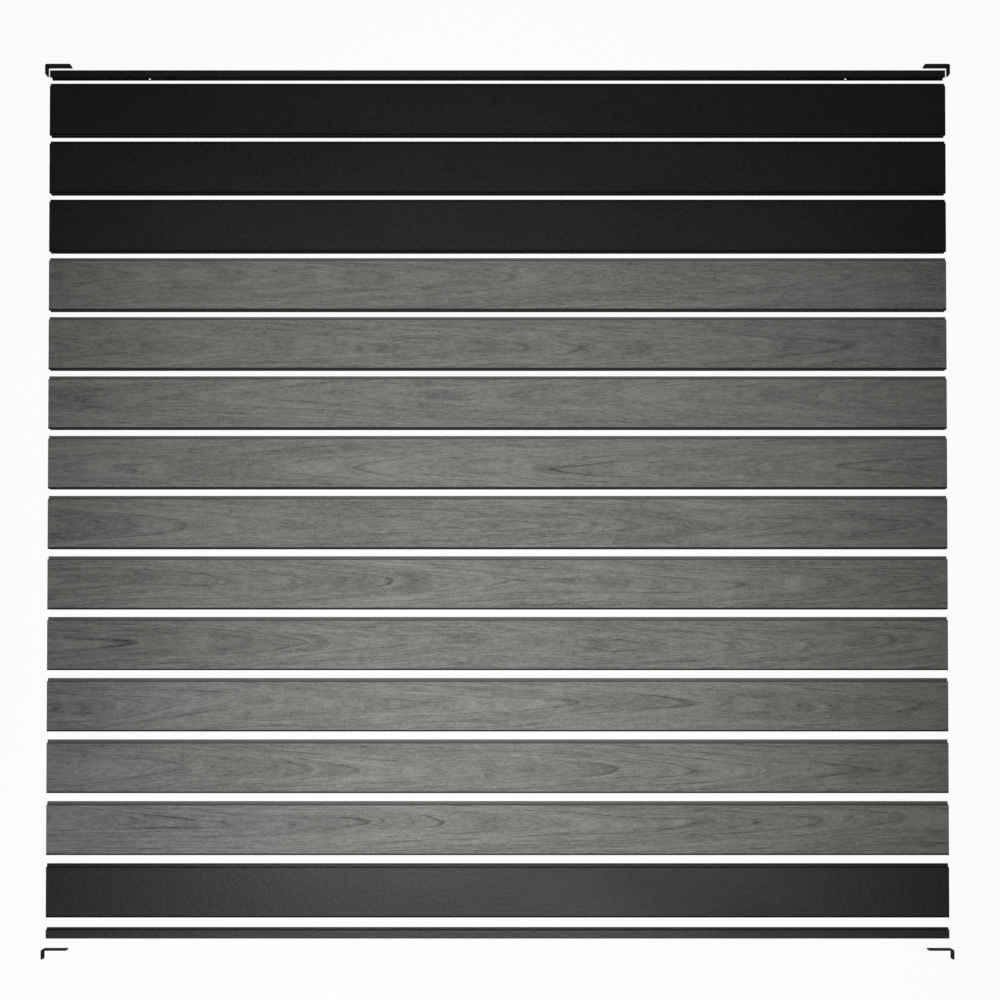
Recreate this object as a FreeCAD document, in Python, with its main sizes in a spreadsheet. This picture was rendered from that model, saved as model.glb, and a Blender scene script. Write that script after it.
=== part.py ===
import FreeCAD, Part
import math
import os
from types import SimpleNamespace

import Sketcher

# Garden privacy screen laid out flat as a kit of parts.  Millimetres.
# X runs along the boards, Y runs up the panel, Z points out of the boards' faces.
# Every piece rests on the plane Z = 0; the origin is under the middle of the layout.

GREY_COUNT = 10
BLACK_COUNT = 3
BOARD_COUNT = 1 + GREY_COUNT + BLACK_COUNT
CHAMBER_COUNT = 4

SINK = 1.0  # a tongue starts this far inside its board, and a cut this far outside
STRAIGHT_SHARE = 0.5  # share of a tongue's reach that comes before its taper
LEAST_CUT = 1.0  # cubic millimetres
TINY = 0.01

SIZES = {
    "board_length": 1830.0,
    "board_thick": 20.0,
    "board_cover": 102.0,
    "tongue_reach": 6.5,
    "tongue_thick": 6.0,
    "tongue_taper": 0.7,
    "groove_depth": 7.6,
    "groove_width": 6.6,
    "groove_flare": 0.5,
    "edge_bevel": 1.1,
    "chamber_first": 13.0,
    "chamber_width": 17.6,
    "chamber_height": 12.0,
    "chamber_radius": 4.5,
    "chamber_pitch": 22.0,
    "metal_wall": 1.5,
    "metal_web": 1.3,
    "web_low": 35.0,
    "web_high": 69.0,
    "base_height": 18.0,
    "base_tongue": 3.5,
    "cap_height": 15.0,
    "slot_lip": 3.2,
    "rail_hole_offset": 715.0,
    "rail_hole_height": 3.4,
    "rail_hole_size": 3.6,
    "bracket_arm": 51.0,
    "bracket_leg": 20.5,
    "bracket_thick": 2.5,
    "bracket_depth": 20.0,
    "bracket_bend": 3.5,
    "bracket_corner": 1.5,
    "bracket_reach": 925.0,
    "arm_hole_offset": 43.0,
    "leg_hole_offset": 13.0,
    "bracket_hole_size": 5.0,
    "row_gap": 17.6,
    "row_gap_step": 0.58,
    "base_gap": 21.0,
    "low_bracket_gap": 22.0,
    "top_bracket_gap": 10.5,
}

document = FreeCAD.newDocument("privacy_screen")
sheet = document.addObject("Spreadsheet::Sheet", "Sizes")


class Length:
    """A length that knows its value and the sheet formula it comes from."""

    def __init__(self, value, text):
        self.value = value
        self.text = text

    def __add__(self, other):
        other = length(other)
        return Length(self.value + other.value, f"({self.text} + {other.text})")

    def __sub__(self, other):
        other = length(other)
        return Length(self.value - other.value, f"({self.text} - {other.text})")

    def __mul__(self, factor):
        return Length(self.value * factor, f"({self.text} * {factor})")

    def __truediv__(self, factor):
        return Length(self.value / factor, f"({self.text} / {factor})")

    def __neg__(self):
        return Length(-self.value, f"(0 - {self.text})")


def length(value):
    """Takes a plain number or a Length."""
    if isinstance(value, Length):
        return value
    return Length(float(value), str(float(value)))


def read_sizes():
    """Writes every size into the sheet under its own word and hands them back."""
    for row, (word, value) in enumerate(SIZES.items(), start=1):
        sheet.set(f"A{row}", word)
        sheet.set(f"B{row}", str(value))
        sheet.setAlias(f"B{row}", word)
    document.recompute()
    return SimpleNamespace(
        **{word: Length(value, f"<<Sizes>>.{word}") for word, value in SIZES.items()}
    )


S = read_sizes()
MIDDLE = S.board_thick / 2
TONGUE_LOW = MIDDLE - S.tongue_thick / 2
TONGUE_HIGH = MIDDLE + S.tongue_thick / 2
GROOVE_LOW = MIDDLE - S.groove_width / 2
GROOVE_HIGH = MIDDLE + S.groove_width / 2
INNER_BACK = S.metal_wall
INNER_FACE = S.board_thick - S.metal_wall
CUT_SPAN = S.board_length * 2


def bind(feature, prop, value):
    """Sets a property by its sheet formula."""
    feature.setExpression(prop, length(value).text)


def new_body(label):
    body = document.addObject("PartDesign::Body", label)
    body.Label = label
    return body


def new_sketch(body, name, role):
    """A sketch on one of the body's own origin planes."""
    plane = next(item for item in body.Origin.OriginFeatures if item.Role == role)
    sketch = body.newObject("Sketcher::SketchObject", f"{body.Name}_{name}")
    sketch.AttachmentSupport = [(plane, "")]
    sketch.MapMode = "FlatFace"
    sketch.Visibility = False
    return sketch


def dimension(sketch, name, constraint, value):
    """Adds a constraint whose value is read from the sheet."""
    index = sketch.addConstraint(constraint)
    sketch.renameConstraint(index, name)
    bind(sketch, f"Constraints.{name}", value)


def pin(sketch, element, end, across, up):
    """Fixes one point of a sketch at a place measured from the sketch's origin."""
    for kind, axis, value in (("DistanceX", -2, across), ("DistanceY", -1, up)):
        if abs(value.value) < TINY:
            sketch.addConstraint(Sketcher.Constraint("PointOnObject", element, end, axis))
        else:
            constraint = Sketcher.Constraint(kind, -1, 1, element, end, value.value)
            dimension(sketch, f"{kind}_{element}", constraint, value)


def outline(sketch, corners):
    """A closed outline of straight lines through the given corners."""
    corners = [(length(across), length(up)) for across, up in corners]
    points = [FreeCAD.Vector(across.value, up.value, 0) for across, up in corners]
    count = len(points)
    for index in range(count):
        following = (index + 1) % count
        sketch.addGeometry(Part.LineSegment(points[index], points[following]))
    for index in range(count):
        following = (index + 1) % count
        sketch.addConstraint(Sketcher.Constraint("Coincident", index, 2, following, 1))
    for index, (across, up) in enumerate(corners):
        pin(sketch, index, 1, across, up)


def rounded_box(sketch, left, bottom, width, height, radius):
    """A box with four round corners."""
    x0, y0, r = left.value, bottom.value, radius.value
    x1 = x0 + width.value
    y1 = y0 + height.value
    sides = [
        ((x0 + r, y0), (x1 - r, y0)),
        ((x1, y0 + r), (x1, y1 - r)),
        ((x1 - r, y1), (x0 + r, y1)),
        ((x0, y1 - r), (x0, y0 + r)),
    ]
    for start, stop in sides:
        line = Part.LineSegment(FreeCAD.Vector(*start, 0), FreeCAD.Vector(*stop, 0))
        sketch.addGeometry(line)
    centres = [(x1 - r, y0 + r), (x1 - r, y1 - r), (x0 + r, y1 - r), (x0 + r, y0 + r)]
    for index, centre in enumerate(centres):
        circle = Part.Circle(FreeCAD.Vector(*centre, 0), FreeCAD.Vector(0, 0, 1), r)
        start = math.pi * (index - 1) / 2
        sketch.addGeometry(Part.ArcOfCircle(circle, start, start + math.pi / 2))
    for index in range(4):
        following = (index + 1) % 4
        sketch.addConstraint(Sketcher.Constraint("Tangent", index, 2, 4 + index, 1))
        sketch.addConstraint(Sketcher.Constraint("Tangent", 4 + index, 2, following, 1))
    for arc in (5, 6, 7):
        sketch.addConstraint(Sketcher.Constraint("Equal", 4, arc))
    sketch.addConstraint(Sketcher.Constraint("Horizontal", 0))
    sketch.addConstraint(Sketcher.Constraint("Vertical", 1))
    dimension(sketch, "radius", Sketcher.Constraint("Radius", 4, r), radius)
    dimension(sketch, "left", Sketcher.Constraint("DistanceX", -1, 1, 3, 1, x0), left)
    dimension(sketch, "right", Sketcher.Constraint("DistanceX", -1, 1, 1, 1, x1), left + width)
    dimension(sketch, "bottom", Sketcher.Constraint("DistanceY", -1, 1, 0, 1, y0), bottom)
    dimension(sketch, "top", Sketcher.Constraint("DistanceY", -1, 1, 2, 1, y1), bottom + height)


def circle_at(sketch, across, up, diameter):
    """One circle with its centre at the given place."""
    centre = FreeCAD.Vector(across.value, up.value, 0)
    circle = Part.Circle(centre, FreeCAD.Vector(0, 0, 1), diameter.value / 2)
    element = sketch.addGeometry(circle)
    pin(sketch, element, 3, across, up)
    constraint = Sketcher.Constraint("Diameter", element, diameter.value)
    dimension(sketch, f"Diameter_{element}", constraint, diameter)


def extrude(body, name, sketch):
    """A pad as long as the boards, half to each side of its sketch."""
    pad = body.newObject("PartDesign::Pad", f"{body.Name}_{name}")
    pad.Profile = sketch
    pad.SideType = "Symmetric"
    bind(pad, "Length", S.board_length)
    document.recompute()
    return pad


def carve(body, name, sketch):
    """A pocket through the whole piece, to both sides of its sketch."""
    before = body.Shape.Volume
    pocket = body.newObject("PartDesign::Pocket", f"{body.Name}_{name}")
    pocket.Profile = sketch
    pocket.SideType = "Symmetric"
    bind(pocket, "Length", CUT_SPAN)
    document.recompute()
    need_less(body, before, name)
    return pocket


def need_less(body, before, name):
    """Stops the build if a cut has taken nothing away."""
    if body.Shape.Volume > before - LEAST_CUT:
        raise RuntimeError(f"{body.Label}: {name} takes nothing away")


def bevelled_outline(sketch, height):
    """The plain section of a board or rail, its four long edges broken."""
    bevel = S.edge_bevel
    outline(sketch, [
        (bevel, 0),
        (height - bevel, 0),
        (height, bevel),
        (height, S.board_thick - bevel),
        (height - bevel, S.board_thick),
        (bevel, S.board_thick),
        (0, S.board_thick - bevel),
        (0, bevel),
    ])


def tongue_outline(sketch, edge, reach):
    """A tongue that stands on an edge and narrows towards its tip."""
    root = edge - SINK
    shoulder = edge + reach * STRAIGHT_SHARE
    tip = edge + reach
    outline(sketch, [
        (root, TONGUE_LOW),
        (shoulder, TONGUE_LOW),
        (tip, TONGUE_LOW + S.tongue_taper),
        (tip, TONGUE_HIGH - S.tongue_taper),
        (shoulder, TONGUE_HIGH),
        (root, TONGUE_HIGH),
    ])


def groove_outline(sketch):
    """The groove along the lower edge, a little wider at its mouth."""
    flare = S.groove_flare
    mouth_end = flare * 2
    outline(sketch, [
        (-SINK, GROOVE_LOW - flare),
        (0, GROOVE_LOW - flare),
        (mouth_end, GROOVE_LOW),
        (S.groove_depth, GROOVE_LOW),
        (S.groove_depth, GROOVE_HIGH),
        (mouth_end, GROOVE_HIGH),
        (0, GROOVE_HIGH + flare),
        (-SINK, GROOVE_HIGH + flare),
    ])


def board_blank(label):
    """The outer shape that the grey and the black boards share."""
    body = new_body(label)
    section = new_sketch(body, "section", "YZ_Plane")
    bevelled_outline(section, S.board_cover)
    extrude(body, "plank", section)
    tongue_section = new_sketch(body, "tongue_section", "YZ_Plane")
    tongue_outline(tongue_section, S.board_cover, S.tongue_reach)
    extrude(body, "tongue", tongue_section)
    groove_section = new_sketch(body, "groove_section", "YZ_Plane")
    groove_outline(groove_section)
    carve(body, "groove", groove_section)
    return body


def grey_board(label):
    """A wood-composite board with a row of rounded chambers."""
    body = board_blank(label)
    section = new_sketch(body, "chamber_section", "YZ_Plane")
    bottom = MIDDLE - S.chamber_height / 2
    rounded_box(
        section, S.chamber_first, bottom, S.chamber_width, S.chamber_height, S.chamber_radius
    )
    chamber = carve(body, "chamber", section)
    before = body.Shape.Volume
    row = body.newObject("PartDesign::LinearPattern", f"{label}_chamber_row")
    row.Originals = [chamber]
    row.Direction = (section, ["H_Axis"])
    row.Mode = "Spacing"
    row.Occurrences = CHAMBER_COUNT
    bind(row, "Offset", S.chamber_pitch)
    body.Tip = row
    document.recompute()
    need_less(body, before, "chamber_row")
    return body


def black_board(label):
    """An aluminium board: thin walls that follow the joint, and two inner webs."""
    body = board_blank(label)
    half_web = S.metal_web / 2
    lip_low = GROOVE_LOW - S.metal_web
    lip_high = GROOVE_HIGH + S.metal_web
    groove_floor = S.groove_depth + S.metal_web
    shoulder = S.board_cover - S.metal_wall
    tip = shoulder + S.tongue_reach
    hollows = {
        "lower_hollow": [
            (S.metal_wall, INNER_BACK),
            (S.web_low - half_web, INNER_BACK),
            (S.web_low - half_web, INNER_FACE),
            (S.metal_wall, INNER_FACE),
            (S.metal_wall, lip_high),
            (groove_floor, lip_high),
            (groove_floor, lip_low),
            (S.metal_wall, lip_low),
        ],
        "middle_hollow": [
            (S.web_low + half_web, INNER_BACK),
            (S.web_high - half_web, INNER_BACK),
            (S.web_high - half_web, INNER_FACE),
            (S.web_low + half_web, INNER_FACE),
        ],
        "upper_hollow": [
            (S.web_high + half_web, INNER_BACK),
            (shoulder, INNER_BACK),
            (shoulder, TONGUE_LOW + S.metal_wall),
            (tip, TONGUE_LOW + S.metal_wall),
            (tip, TONGUE_HIGH - S.metal_wall),
            (shoulder, TONGUE_HIGH - S.metal_wall),
            (shoulder, INNER_FACE),
            (S.web_high + half_web, INNER_FACE),
        ],
    }
    for name, corners in hollows.items():
        section = new_sketch(body, f"{name}_section", "YZ_Plane")
        outline(section, corners)
        carve(body, name, section)
    return body


def low_rail(label):
    """The hollow rail that carries the lowest board on a short tongue."""
    body = new_body(label)
    section = new_sketch(body, "section", "YZ_Plane")
    bevelled_outline(section, S.base_height)
    extrude(body, "bar", section)
    tongue_section = new_sketch(body, "tongue_section", "YZ_Plane")
    tongue_outline(tongue_section, S.base_height, S.base_tongue)
    extrude(body, "tongue", tongue_section)
    hollow_section = new_sketch(body, "hollow_section", "YZ_Plane")
    crown = S.base_height - S.metal_wall
    outline(hollow_section, [
        (S.metal_wall, INNER_BACK),
        (crown, INNER_BACK),
        (crown, INNER_FACE),
        (S.metal_wall, INNER_FACE),
    ])
    carve(body, "hollow", hollow_section)
    return body


def cap_rail(label):
    """The capping channel: open below, with two ribs that hold the last tongue."""
    body = new_body(label)
    section = new_sketch(body, "section", "YZ_Plane")
    bevelled_outline(section, S.cap_height)
    extrude(body, "bar", section)
    channel_section = new_sketch(body, "channel_section", "YZ_Plane")
    crown = S.cap_height - S.metal_wall
    rib_low = GROOVE_LOW - S.metal_web
    rib_high = GROOVE_HIGH + S.metal_web
    outline(channel_section, [
        (-SINK, INNER_BACK),
        (crown, INNER_BACK),
        (crown, rib_low),
        (S.slot_lip, rib_low),
        (S.slot_lip, GROOVE_LOW),
        (crown, GROOVE_LOW),
        (crown, GROOVE_HIGH),
        (S.slot_lip, GROOVE_HIGH),
        (S.slot_lip, rib_high),
        (crown, rib_high),
        (crown, INNER_FACE),
        (-SINK, INNER_FACE),
    ])
    carve(body, "channel", channel_section)
    before = body.Shape.Volume
    places = new_sketch(body, "back_hole_places", "XY_Plane")
    for offset in (-S.rail_hole_offset, S.rail_hole_offset):
        circle_at(places, offset, S.rail_hole_height, S.rail_hole_size)
    document.recompute()
    drill = body.newObject("PartDesign::Hole", f"{label}_back_holes")
    drill.Profile = places
    drill.Reversed = True
    drill.DepthType = "Dimension"
    drill.DrillPoint = "Flat"
    bind(drill, "Diameter", S.rail_hole_size)
    bind(drill, "Depth", S.metal_wall * 2)
    document.recompute()
    need_less(body, before, "back_holes")
    return body


def edges_at(body, across, up, rise):
    """Names the edges centred on a place that rise by the given height."""
    names = []
    for index, edge in enumerate(body.Shape.Edges, start=1):
        box = edge.BoundBox
        near = abs(box.Center.x - across) < TINY and abs(box.Center.y - up) < TINY
        if near and abs(box.ZLength - rise) < TINY:
            names.append(f"Edge{index}")
    return names


def round_edges(body, name, edges, radius):
    """Rounds the named edges of the body as it stands."""
    base = body.Tip
    fillet = body.newObject("PartDesign::Fillet", f"{body.Name}_{name}")
    fillet.Base = (base, edges)
    bind(fillet, "Radius", radius)
    document.recompute()


def bracket(label, side):
    """An L-shaped strip on edge: arm towards the middle, leg down past the rail's end."""
    body = new_body(label)
    strip = new_sketch(body, "strip_section", "XY_Plane")
    thick = S.bracket_thick
    outline(strip, [
        (0, 0),
        (S.bracket_arm * -side, 0),
        (S.bracket_arm * -side, -thick),
        (thick * -side, -thick),
        (thick * -side, -S.bracket_leg),
        (0, -S.bracket_leg),
    ])
    pad = body.newObject("PartDesign::Pad", f"{label}_strip")
    pad.Profile = strip
    bind(pad, "Length", S.bracket_depth)
    document.recompute()
    depth = S.bracket_depth.value
    step = thick.value
    round_edges(body, "outer_bend", edges_at(body, 0, 0, depth), S.bracket_bend)
    heel = edges_at(body, -side * step, -step, depth)
    round_edges(body, "inner_bend", heel, S.bracket_bend - thick)
    ends = edges_at(body, -side * S.bracket_arm.value, -step / 2, 0)
    ends += edges_at(body, -side * step / 2, -S.bracket_leg.value, 0)
    round_edges(body, "end_corners", ends, S.bracket_corner)
    arm_place = new_sketch(body, "arm_hole_place", "XZ_Plane")
    circle_at(arm_place, S.arm_hole_offset * -side, S.bracket_depth / 2, S.bracket_hole_size)
    carve(body, "arm_hole", arm_place)
    leg_place = new_sketch(body, "leg_hole_place", "YZ_Plane")
    circle_at(leg_place, -S.leg_hole_offset, S.bracket_depth / 2, S.bracket_hole_size)
    carve(body, "leg_hole", leg_place)
    bind(body, "Placement.Base.x", S.bracket_reach * side)
    return body


def lay_out():
    """Makes every piece and lays it in its row, from the bottom of the panel up.

    The rows were laid by hand: the gaps between them narrow steadily towards the top.
    """
    boards = [black_board("bottom_board")]
    boards += [grey_board(f"grey_board_{GREY_COUNT - index:02d}") for index in range(GREY_COUNT)]
    boards += [black_board(f"black_board_{BLACK_COUNT - index}") for index in range(BLACK_COUNT)]
    base_place = S.bracket_leg + S.low_bracket_gap
    rows = [(low_rail("bottom_rail"), base_place)]
    place = base_place + S.base_height + S.base_tongue + S.base_gap
    for index, board in enumerate(boards):
        rows.append((board, place))
        place = place + S.board_cover + S.tongue_reach + S.row_gap - S.row_gap_step * index
    rows.append((cap_rail("top_rail"), place))
    top_place = place + S.cap_height + S.top_bracket_gap + S.bracket_thick
    for name, side in (("left", -1), ("right", 1)):
        rows.append((bracket(f"bracket_bottom_{name}", side), S.bracket_leg))
        rows.append((bracket(f"bracket_top_{name}", side), top_place))
    for body, height in rows:
        bind(body, "Placement.Base.y", height - top_place / 2)
    document.recompute()
    return [body for body, height in rows]


def write_out(bodies):
    """Checks every feature and body, then writes one file for each piece."""
    for feature in document.Objects:
        if "Invalid" in feature.State or "Error" in feature.State:
            raise RuntimeError(f"{feature.Name} is {feature.State}")
    os.makedirs("parts", exist_ok=True)
    for body in bodies:
        shape = body.Shape
        if shape.isNull() or not shape.isValid() or len(shape.Solids) != 1:
            raise RuntimeError(f"{body.Label} is not one sound solid")
        if abs(shape.BoundBox.ZMin) > TINY:
            raise RuntimeError(f"{body.Label} does not rest on the ground plane")
        shape.exportStep(f"parts/{body.Label}.step")


write_out(lay_out())
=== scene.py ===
"""Garden privacy screen laid out as a kit: finishes, floor, light and camera.

Metres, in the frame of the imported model: X along the boards, Y up the layout, Z up from the floor.
"""
import math
import random
from collections import namedtuple

import bpy
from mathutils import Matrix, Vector


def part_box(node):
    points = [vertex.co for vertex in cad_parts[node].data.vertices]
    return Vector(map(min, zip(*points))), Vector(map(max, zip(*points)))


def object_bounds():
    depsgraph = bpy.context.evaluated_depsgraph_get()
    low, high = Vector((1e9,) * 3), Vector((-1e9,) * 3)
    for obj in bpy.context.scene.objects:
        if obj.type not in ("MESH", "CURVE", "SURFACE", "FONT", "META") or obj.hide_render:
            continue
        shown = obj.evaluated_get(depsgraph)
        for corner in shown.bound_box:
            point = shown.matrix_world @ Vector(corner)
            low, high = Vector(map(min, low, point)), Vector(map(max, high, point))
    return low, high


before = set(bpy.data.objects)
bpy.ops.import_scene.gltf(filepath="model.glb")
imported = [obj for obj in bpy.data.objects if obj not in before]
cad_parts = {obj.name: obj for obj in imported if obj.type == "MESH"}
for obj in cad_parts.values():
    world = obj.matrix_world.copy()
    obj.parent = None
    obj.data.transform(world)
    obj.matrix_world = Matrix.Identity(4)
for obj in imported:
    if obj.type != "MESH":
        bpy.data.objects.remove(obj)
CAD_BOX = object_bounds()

GREY_BOARDS = [f"grey_board_{number:02d}" for number in range(1, 11)]
BLACK_BOARDS = [f"black_board_{number}" for number in range(1, 4)] + ["bottom_board"]
RAILS = ["top_rail", "bottom_rail"]
BRACKETS = [f"bracket_{level}_{side}" for level in ("top", "bottom") for side in ("left", "right")]

# Camera: it hangs over the lower half of the layout and looks almost straight down, with its picture
# shifted up to take in the whole kit.
CAMERA_PLACE = (0.005, -0.321)
CAMERA_HEIGHT = 3.2
CAMERA_TILT = math.radians(1.0)
VIEW_WIDTH = 2.044
PICTURE_SHIFT = 0.14
SENSOR_WIDTH = 36.0
FARTHEST_SEEN = 100.0

# Lamps: three large soft ones high over the layout, each with its power in watts, the angle of its
# cone in degrees and its place and target on the plan.  The world adds dim light from all round.
LAMP_HEIGHT = 3.4
LAMP_RADIUS = 0.45
WORLD_LIGHT = 0.16
Lamp = namedtuple("Lamp", "place target cone power colour")
LAMPS = {
    "key_left": Lamp((-0.35, -0.9), (-0.72, -1.42), 38.5, 262.0, (0.89, 0.92, 1.0)),
    "key_right": Lamp((0.6, -1.0), (0.28, -1.14), 42.0, 138.0, (1.0, 0.955, 0.85)),
    "key_high": Lamp((-0.34, -0.45), (-0.05, 0.07), 42.0, 290.0, (1.0, 0.995, 0.98)),
}

FLOOR_SIZE = 60.0
FLOOR_DROP = 0.0002
FLOOR_GREY = (0.5, 0.5, 0.5, 1.0)
FLOOR_SEEN = (0.95, 0.95, 0.95, 1.0)
FLOOR_GLOW = 0.95
WHITE = (1.0, 1.0, 1.0, 1.0)

# Profiles: the upright part of a normal where a face turns into an edge, the rim along a board's
# foot that is painted dark as shade, and the height from the board's middle that its tongue and groove
# keep within.
EDGE_SLOPE = 0.78
EDGE_SOFTNESS = 0.07
RIM_WIDTH = 0.0034
RIM_SOFTNESS = 0.0006
BOARD_MIDDLE = (CAD_BOX[0][2] + CAD_BOX[1][2]) / 2
JOINT_REACH = 0.008
JOINT_SOFTNESS = 0.0005

# Noise layers: waves per metre along X, Y and Z, a shift that sets one layer apart from another,
# and the noise's detail and roughness.
Layer = namedtuple("Layer", "waves shift detail roughness", defaults=(0.5,))
UNMOVED = (0.0, 0.0, 0.0)

# Log: the boards are cut from tapering logs whose heart wanders below their faces, two in three of
# them with the thick end to one side.  A board starts somewhere along its log, and its seed settles
# where.  A ring darkens over one span of its width and ends over another.
HEART_DEPTH = 0.008
HEART_DIVE = 0.035
HEART_SWING = 0.05
HEART_OFFSET = 0.016
LEAST_TAPER = 0.036
MOST_TAPER = 0.044
TAPER_WAYS = (1.0, 1.0, -1.0)
RIPPLE_HEIGHT = 0.0052
RING_PITCH = 0.0098
FINE_RING_PITCH = 0.0039
RING_DARKENS = (0.82, 0.97)
RING_ENDS = (1.0, 0.965)
BOARD_STARTS = (2.0, 60.0)
FIRST_SEED = 41
DIVE = Layer((1.3, 0.0, 0.0), UNMOVED, 0.5)
WANDER = Layer((1.7, 0.0, 0.0), (52.7, 0.0, 0.0), 1.0)
RIPPLE = Layer((3.6, 42.0, 42.0), UNMOVED, 3.0, 0.6)

# Grain, in waves along the board and across the rings (the first four) or over the face.  Each board
# has its own slice of the noise across the rings, one step from the next board's.
BREAKS = Layer((7.5, 150.0, 1.0), UNMOVED, 2.0, 0.6)
STREAKS = Layer((17.0, 340.0, 1.0), UNMOVED, 3.0, 0.65)
STRIPES = Layer((4.0, 110.0, 1.0), (3.0, 0.0, 0.0), 1.0)
BANDS = Layer((1.3, 36.0, 1.0), UNMOVED, 2.0)
HAIRS = Layer((55.0, 290.0, 290.0), UNMOVED, 3.0, 0.65)
MOTTLE = Layer((260.0, 330.0, 330.0), UNMOVED, 2.0, 0.6)
SPECKS = Layer((70.0, 330.0, 330.0), (5.0, 0.0, 0.0), 1.0)
WARMTH = Layer((1.6, 9.0, 9.0), UNMOVED, 1.0)
SLICE_STEP = 0.1

# Spans of a noise that count as none and as all of a mark, and how far breaks thin the arches.
BREAK_SPAN = (0.38, 0.6)
BREAK_SHARE = 0.7
DARK_SPECK_SPAN = (0.28, 0.2)
LIGHT_SPECK_SPAN = (0.72, 0.8)
WARM_SPAN = (0.35, 0.7)

# Tone of the grain: where it starts, what each layer adds to it, and its darkest and lightest sum.
TONE_START = -0.61
STREAK_SHARE = 0.82
STRIPE_SHARE = 0.4
HAIR_SHARE = 0.7
MOTTLE_SHARE = 0.6
BAND_SHARE = 0.34
LATE_WOOD_SHARE = -0.26
FINE_RING_SHARE = -0.16
DARK_SPECK_SHARE = -0.13
LIGHT_SPECK_SHARE = 0.18
DARKEST_SUM = 0.22
LIGHTEST_SUM = 1.28

# Figure: how strongly the rings show in the highest grey board, and how much more in each one below.
FIRST_FIGURE = 0.53
FIGURE_STEP = 0.08

# Colours and surface of the grey composite.
WOOD_DARK = (0.035, 0.035, 0.034)
WOOD_LIGHT = (0.344, 0.343, 0.329)
WARM_DARK = (1.03, 0.99, 0.92)
WARM_LIGHT = (1.02, 0.98, 0.93)
WARMTH_SHARE = 0.4
SHADE_RANGE = 0.006
JOINT_COLOUR = (0.172, 0.169, 0.162, 1.0)
# The edge and rim colours are painted shade: darker bevels, ends, undersides and lower rim.
EDGE_SHADE_COLOUR = (0.075, 0.074, 0.072, 1.0)
RIM_SHADE_COLOUR = (0.03, 0.0295, 0.029, 1.0)
DARK_ROUGHNESS = 0.66
LIGHT_ROUGHNESS = 0.5
EDGE_ROUGHNESS = 0.9
WOOD_GLOSS = 0.35
WOOD_RELIEF = 0.35
WOOD_RELIEF_DEPTH = 0.0004

# Powder coats: base colour, least and most roughness, waves per metre of the peel, gloss, and how
# light the edges are beside the faces, where they are painted darker as shade.
Coat = namedtuple("Coat", "base smooth rough peel gloss edge_share")
BLACK = (0.0148, 0.0153, 0.0162)
BOARD_COAT = Coat(BLACK, 0.4, 0.48, 320.0, 0.25, 0.12)
RAIL_COAT = Coat(BLACK, 0.4, 0.48, 320.0, 0.32, 0.15)
BRACKET_COAT = Coat((0.009, 0.009, 0.0095), 0.5, 0.6, 900.0, 0.2, 0.6)
CLOUDS = Layer((2.5, 6.0, 6.0), UNMOVED, 3.0, 0.55)
SKIN_WAVES = Layer((110.0, 110.0, 110.0), UNMOVED, 2.0, 0.6)
RUBS = Layer((5.0, 160.0, 160.0), UNMOVED, 2.0, 0.6)
RUB_SPAN = (0.62, 0.82)
SKIN_WAVE_SPAN = (0.3, 0.7)
WORN_SPAN = (0.2, 0.8)
PEEL_DETAIL = 3.0
PEEL_ROUGHNESS = 0.6
PEEL_SHARE = 0.2
CLOUD_SHARE = 0.44
SKIN_WAVE_SHARE = 0.36
COAT_DARK = 0.35
COAT_LIGHT = 1.65
RUB_SHINE = -0.25
COAT_EDGE_ROUGHNESS = 0.85
SKIN_WAVE_HEIGHT = 1.4
COAT_RELIEF = 0.5
COAT_RELIEF_DEPTH = 0.0005


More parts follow.
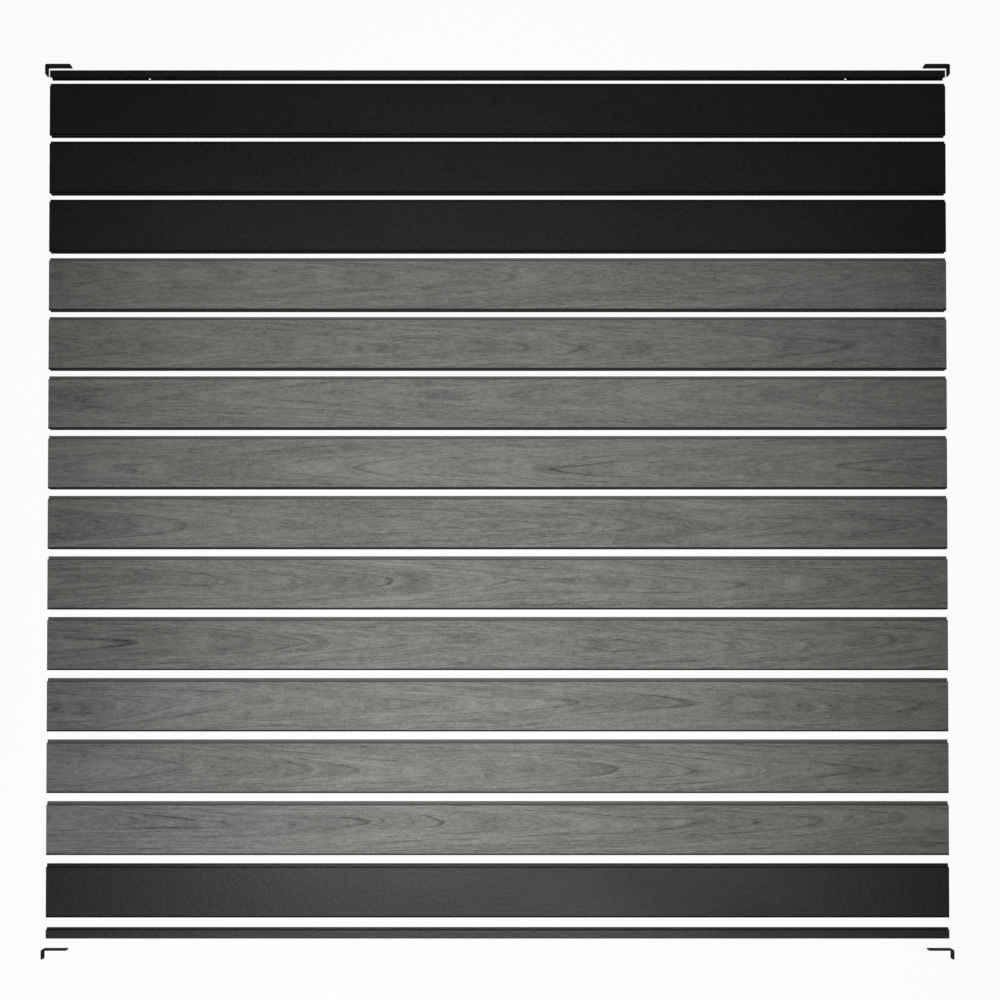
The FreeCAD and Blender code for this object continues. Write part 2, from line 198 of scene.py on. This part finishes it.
class Nodes:
    """Adds shader nodes to one material or world and joins them up."""

    def __init__(self, owner, output="ShaderNodeOutputMaterial"):
        owner.use_nodes = True
        self.owner = owner
        self.tree = owner.node_tree
        self.tree.nodes.clear()
        self.output = self.tree.nodes.new(output)

    def add(self, kind, inputs=(), **settings):
        made = self.tree.nodes.new(kind)
        for name, value in settings.items():
            setattr(made, name, value)
        for name, value in dict(inputs).items():
            self.feed(made, name, value)
        return made

    def feed(self, target, name, value):
        """Links a socket's value to another node's output, or sets it to a plain value."""
        socket = target.inputs[name]
        if isinstance(value, bpy.types.NodeSocket):
            self.tree.links.new(value, socket)
        else:
            socket.default_value = value

    def math(self, operation, first, second=0.0, third=0.0):
        made = self.add("ShaderNodeMath", {0: first, 1: second, 2: third}, operation=operation)
        return made.outputs[0]

    def place(self):
        """The point of the piece, which stays with it when it moves."""
        return self.add("ShaderNodeTexCoord").outputs["Object"]

    def split(self, vector):
        """X, Y and Z of a vector."""
        return self.add("ShaderNodeSeparateXYZ", {"Vector": vector}).outputs

    def noise(self, vector, layer):
        waves = self.add("ShaderNodeMapping", {
            "Vector": vector,
            "Scale": layer.waves,
            "Location": layer.shift,
        })
        made = self.add("ShaderNodeTexNoise", {
            "Vector": waves.outputs["Vector"],
            "Scale": 1.0,
            "Detail": layer.detail,
            "Roughness": layer.roughness,
        })
        return made.outputs["Fac"]

    def spread(self, value, low, high, out_low=0.0, out_high=1.0, ends="SMOOTHSTEP"):
        """Maps low..high to out_low..out_high, with soft ends unless told otherwise."""
        made = self.add("ShaderNodeMapRange", {
            "Value": value,
            "From Min": low,
            "From Max": high,
            "To Min": out_low,
            "To Max": out_high,
        }, interpolation_type=ends)
        return made.outputs["Result"]

    def below(self, value, limit, softness):
        """1 where the value is under the limit, 0 where it is over it, soft between."""
        return self.spread(value, limit + softness, limit - softness)

    def blend(self, amount, first, second):
        made = self.add("ShaderNodeMix", {0: amount, 6: first, 7: second}, data_type="RGBA")
        return made.outputs[2]

    def surface(self, colour, roughness, gloss, height, strength, depth):
        """The shader of a piece, with a relief that follows height."""
        relief = self.add("ShaderNodeBump", {"Height": height, "Strength": strength, "Distance": depth})
        shader = self.add("ShaderNodeBsdfPrincipled", {
            "Base Color": colour,
            "Roughness": roughness,
            "Normal": relief.outputs["Normal"],
            "Specular IOR Level": gloss,
        })
        return self.finish(shader)

    def finish(self, shader):
        self.tree.links.new(shader.outputs[0], self.output.inputs["Surface"])
        return self.owner


def paint(colour, shade=0.0, tint=(1.0, 1.0, 1.0)):
    """A colour socket's four values: the colour with shade added, then tinted."""
    return tuple((value + shade) * share for value, share in zip(colour, tint)) + (1.0,)


def edge_faces(n):
    """1 on the bevels, on the steps beside the tongue and on the ends."""
    normal = n.add("ShaderNodeTexCoord").outputs["Normal"]
    upright = n.math("ABSOLUTE", n.split(normal)["Z"])
    return n.below(upright, EDGE_SLOPE, EDGE_SOFTNESS)


def lower_rim(n, place, foot):
    """1 along the lower rim of a board, which is painted dark as shade where the face turns into the
    groove.
    """
    return n.below(n.math("SUBTRACT", n.split(place)["Y"], foot), RIM_WIDTH, RIM_SOFTNESS)


def joint_faces(n, place):
    """1 on the tongue and inside the groove, where the grain isn't embossed."""
    from_middle = n.math("ABSOLUTE", n.math("SUBTRACT", n.split(place)["Z"], BOARD_MIDDLE))
    return n.below(from_middle, JOINT_REACH, JOINT_SOFTNESS)


def ring_radius(n, face, taper, offset):
    """Size of the growth ring at a point: how far from the heart, with the log's taper and ripple."""
    parts = n.split(face)
    depth = n.math("MULTIPLY_ADD", n.noise(face, DIVE), HEART_DIVE, HEART_DEPTH)
    aside = n.math("MULTIPLY_ADD", n.noise(face, WANDER), HEART_SWING, offset - HEART_SWING / 2)
    off_heart = n.math("SUBTRACT", parts["Y"], aside)
    squares = n.math("ADD", n.math("MULTIPLY", depth, depth), n.math("MULTIPLY", off_heart, off_heart))
    radius = n.math("MULTIPLY_ADD", parts["X"], taper, n.math("SQRT", squares))
    return n.math("MULTIPLY_ADD", n.noise(face, RIPPLE), RIPPLE_HEIGHT, radius)


def late_wood(n, radius, pitch):
    """1 in the thin dark wood that ends each growth ring."""
    ring = n.math("FRACT", n.math("MULTIPLY", radius, 1.0 / pitch))
    return n.math("MULTIPLY", n.spread(ring, *RING_DARKENS), n.spread(ring, *RING_ENDS))


def grain_tone(n, face, grain, radius, figure):
    """Light and dark of the wood, from 0 to 1.  The figure says how strongly the rings show."""
    breaks = n.spread(n.noise(grain, BREAKS), *BREAK_SPAN)
    faint_breaks = n.math("MULTIPLY_ADD", breaks, BREAK_SHARE, 1.0 - BREAK_SHARE)
    arches = n.math("MULTIPLY", late_wood(n, radius, RING_PITCH), faint_breaks)
    fine_rings = n.math("MULTIPLY", late_wood(n, radius, FINE_RING_PITCH), breaks)
    specks = n.noise(face, SPECKS)
    layers = (
        (n.noise(grain, STREAKS), STREAK_SHARE),
        (n.noise(grain, STRIPES), STRIPE_SHARE),
        (n.noise(face, HAIRS), HAIR_SHARE),
        (n.noise(face, MOTTLE), MOTTLE_SHARE),
        (n.noise(grain, BANDS), BAND_SHARE),
        (arches, LATE_WOOD_SHARE * figure),
        (fine_rings, FINE_RING_SHARE * figure),
        (n.spread(specks, *DARK_SPECK_SPAN), DARK_SPECK_SHARE),
        (n.spread(specks, *LIGHT_SPECK_SPAN), LIGHT_SPECK_SHARE),
    )
    tone = TONE_START
    for layer, share in layers:
        tone = n.math("MULTIPLY_ADD", layer, share, tone)
    return n.spread(tone, DARKEST_SUM, LIGHTEST_SUM, ends="LINEAR")


def grain_colour(n, face, tone, shade):
    """Grey from dark to light by the tone, warmer in slow patches."""
    grey = n.blend(tone, paint(WOOD_DARK, shade), paint(WOOD_LIGHT, shade))
    warm = n.blend(tone, paint(WOOD_DARK, shade, WARM_DARK), paint(WOOD_LIGHT, shade, WARM_LIGHT))
    patches = n.spread(n.noise(face, WARMTH), *WARM_SPAN)
    return n.blend(n.math("MULTIPLY", patches, WARMTH_SHARE), grey, warm)


def wood_finish(name, foot, middle, figure, seed):
    """Grey composite with flat-sawn grain: arches of growth rings, fine streaks and specks.

    The rings are those of a tapering log whose heart runs along the board below its face, so each
    ring closes in an arch where the face cuts it.  The tongue, groove, edges and rim are plain, and the
    edges and rim are painted dark as shade.
    """
    chance = random.Random(seed)
    start = chance.uniform(*BOARD_STARTS)
    taper = chance.choice(TAPER_WAYS) * chance.uniform(LEAST_TAPER, MOST_TAPER)
    offset = chance.uniform(-HEART_OFFSET, HEART_OFFSET)
    shade = chance.uniform(-SHADE_RANGE, SHADE_RANGE)

    n = Nodes(bpy.data.materials.new(name))
    place = n.place()
    moved = n.add("ShaderNodeMapping", {"Vector": place, "Location": (start, -middle, 0.0)})
    face = moved.outputs["Vector"]
    radius = ring_radius(n, face, taper, offset)
    grain = n.add("ShaderNodeCombineXYZ", {
        "X": n.split(face)["X"],
        "Y": radius,
        "Z": SLICE_STEP * seed,
    })
    tone = grain_tone(n, face, grain.outputs[0], radius, figure)

    joint = joint_faces(n, place)
    edge = edge_faces(n)
    rim = lower_rim(n, place, foot)
    colour = grain_colour(n, face, tone, shade)
    colour = n.blend(joint, colour, JOINT_COLOUR)
    # Painted shade: the bevels, ends and undersides, then the lower rim, take darker colours.
    colour = n.blend(edge, colour, EDGE_SHADE_COLOUR)
    colour = n.blend(rim, colour, RIM_SHADE_COLOUR)
    dull = n.math("MAXIMUM", joint, n.math("MAXIMUM", edge, rim))
    rough = n.spread(tone, 0.0, 1.0, DARK_ROUGHNESS, LIGHT_ROUGHNESS)
    rough = n.math("MAXIMUM", rough, n.math("MULTIPLY", dull, EDGE_ROUGHNESS))
    return n.surface(colour, rough, WOOD_GLOSS, tone, WOOD_RELIEF, WOOD_RELIEF_DEPTH)


def coat_finish(name, coat, foot=None):
    """Black powder coat: a fine orange-peel skin with shallow waves and duller edges that are painted
    darker as shade.

    A board also gets the rim along its foot painted dark as shade.
    """
    n = Nodes(bpy.data.materials.new(name))
    place = n.place()
    cloud = n.noise(place, CLOUDS)
    waves = n.noise(place, SKIN_WAVES)
    peel = n.noise(place, Layer((coat.peel,) * 3, UNMOVED, PEEL_DETAIL, PEEL_ROUGHNESS))
    rubs = n.spread(n.noise(place, RUBS), *RUB_SPAN)
    tone = n.math("MULTIPLY_ADD", peel, PEEL_SHARE, n.math("MULTIPLY", cloud, CLOUD_SHARE))
    tone = n.math("MULTIPLY_ADD", n.spread(waves, *SKIN_WAVE_SPAN), SKIN_WAVE_SHARE, tone)
    edge = edge_faces(n)
    if foot is not None:
        edge = n.math("MAXIMUM", edge, lower_rim(n, place, foot))
    dark = paint(coat.base, tint=(COAT_DARK,) * 3)
    light = paint(coat.base, tint=(COAT_LIGHT,) * 3)
    # Painted shade: the edges and a board's lower rim take a darker copy of the base colour.
    edge_shade = paint(coat.base, tint=(coat.edge_share,) * 3)
    colour = n.blend(edge, n.blend(tone, dark, light), edge_shade)
    worn = n.math("MULTIPLY_ADD", rubs, RUB_SHINE, cloud)
    rough = n.spread(worn, *WORN_SPAN, coat.smooth, coat.rough)
    rough = n.math("MAXIMUM", rough, n.math("MULTIPLY", edge, COAT_EDGE_ROUGHNESS))
    skin = n.math("MULTIPLY_ADD", waves, SKIN_WAVE_HEIGHT, peel)
    return n.surface(colour, rough, coat.gloss, skin, COAT_RELIEF, COAT_RELIEF_DEPTH)


def dress(node, material):
    """Gives every face of a CAD node one finish."""
    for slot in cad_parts[node].material_slots:
        slot.material = material


def dress_all():
    for index, node in enumerate(GREY_BOARDS):
        low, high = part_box(node)
        name = f"grey_composite_{index + 1:02d}"
        middle = (low[1] + high[1]) / 2
        figure = FIRST_FIGURE + FIGURE_STEP * index
        dress(node, wood_finish(name, low[1], middle, figure, FIRST_SEED + index))
    for node in BLACK_BOARDS:
        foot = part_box(node)[0][1]
        dress(node, coat_finish(f"black_coat_{node}", BOARD_COAT, foot))
    rail_finish = coat_finish("black_rail_coat", RAIL_COAT)
    for node in RAILS:
        dress(node, rail_finish)
    bracket_finish = coat_finish("black_bracket_coat", BRACKET_COAT)
    for node in BRACKETS:
        dress(node, bracket_finish)


def floor_finish():
    """A white floor that shows as plain white to the camera and keeps a faint shadow."""
    n = Nodes(bpy.data.materials.new("pale_floor"))
    ray = n.add("ShaderNodeLightPath").outputs
    seen = n.math("MAXIMUM", ray["Is Camera Ray"], ray["Is Glossy Ray"])
    seen = n.math("MAXIMUM", seen, ray["Is Transmission Ray"])
    matt = n.add("ShaderNodeBsdfDiffuse", {"Color": n.blend(seen, FLOOR_GREY, FLOOR_SEEN)})
    glow = n.add("ShaderNodeEmission", {"Color": WHITE, "Strength": 1.0})
    amount = n.math("MULTIPLY", seen, FLOOR_GLOW)
    return n.finish(n.add("ShaderNodeMixShader", {0: amount, 1: matt.outputs[0], 2: glow.outputs[0]}))


def lay_floor():
    bpy.ops.mesh.primitive_plane_add(size=FLOOR_SIZE, location=(0.0, 0.0, -FLOOR_DROP))
    floor = bpy.context.object
    floor.name = "floor"
    floor.data.materials.append(floor_finish())


def light_world():
    """Dim even light from all round, white where the camera looks past the floor."""
    n = Nodes(bpy.data.worlds.new("studio"), "ShaderNodeOutputWorld")
    seen = n.add("ShaderNodeLightPath").outputs["Is Camera Ray"]
    dim = n.add("ShaderNodeBackground", {"Color": WHITE, "Strength": WORLD_LIGHT})
    bright = n.add("ShaderNodeBackground", {"Color": WHITE, "Strength": 1.0})
    mix = n.add("ShaderNodeMixShader", {0: seen, 1: dim.outputs[0], 2: bright.outputs[0]})
    bpy.context.scene.world = n.finish(mix)


def add_lamp(name, lamp):
    """A large soft lamp whose pool of light fades from its middle to its rim."""
    data = bpy.data.lights.new(name, "SPOT")
    data.energy = lamp.power
    data.color = lamp.colour
    data.spot_size = math.radians(lamp.cone)
    data.spot_blend = 1.0
    data.shadow_soft_size = LAMP_RADIUS
    holder = bpy.data.objects.new(name, data)
    holder.location = lamp.place + (LAMP_HEIGHT,)
    direction = Vector(lamp.target + (0.0,)) - holder.location
    holder.rotation_euler = direction.to_track_quat("-Z", "Y").to_euler()
    bpy.context.scene.collection.objects.link(holder)


def place_camera():
    data = bpy.data.cameras.new("camera")
    data.sensor_width = SENSOR_WIDTH
    data.lens = SENSOR_WIDTH * CAMERA_HEIGHT / math.cos(CAMERA_TILT) / VIEW_WIDTH
    data.shift_y = PICTURE_SHIFT
    data.clip_end = FARTHEST_SEEN
    camera = bpy.data.objects.new("camera", data)
    camera.location = CAMERA_PLACE + (CAMERA_HEIGHT,)
    camera.rotation_euler = (CAMERA_TILT, 0.0, 0.0)
    bpy.context.scene.collection.objects.link(camera)
    bpy.context.scene.camera = camera


dress_all()
lay_floor()
light_world()
for lamp_name, lamp in LAMPS.items():
    add_lamp(lamp_name, lamp)
place_camera()
bpy.context.scene.view_settings.view_transform = "Standard"
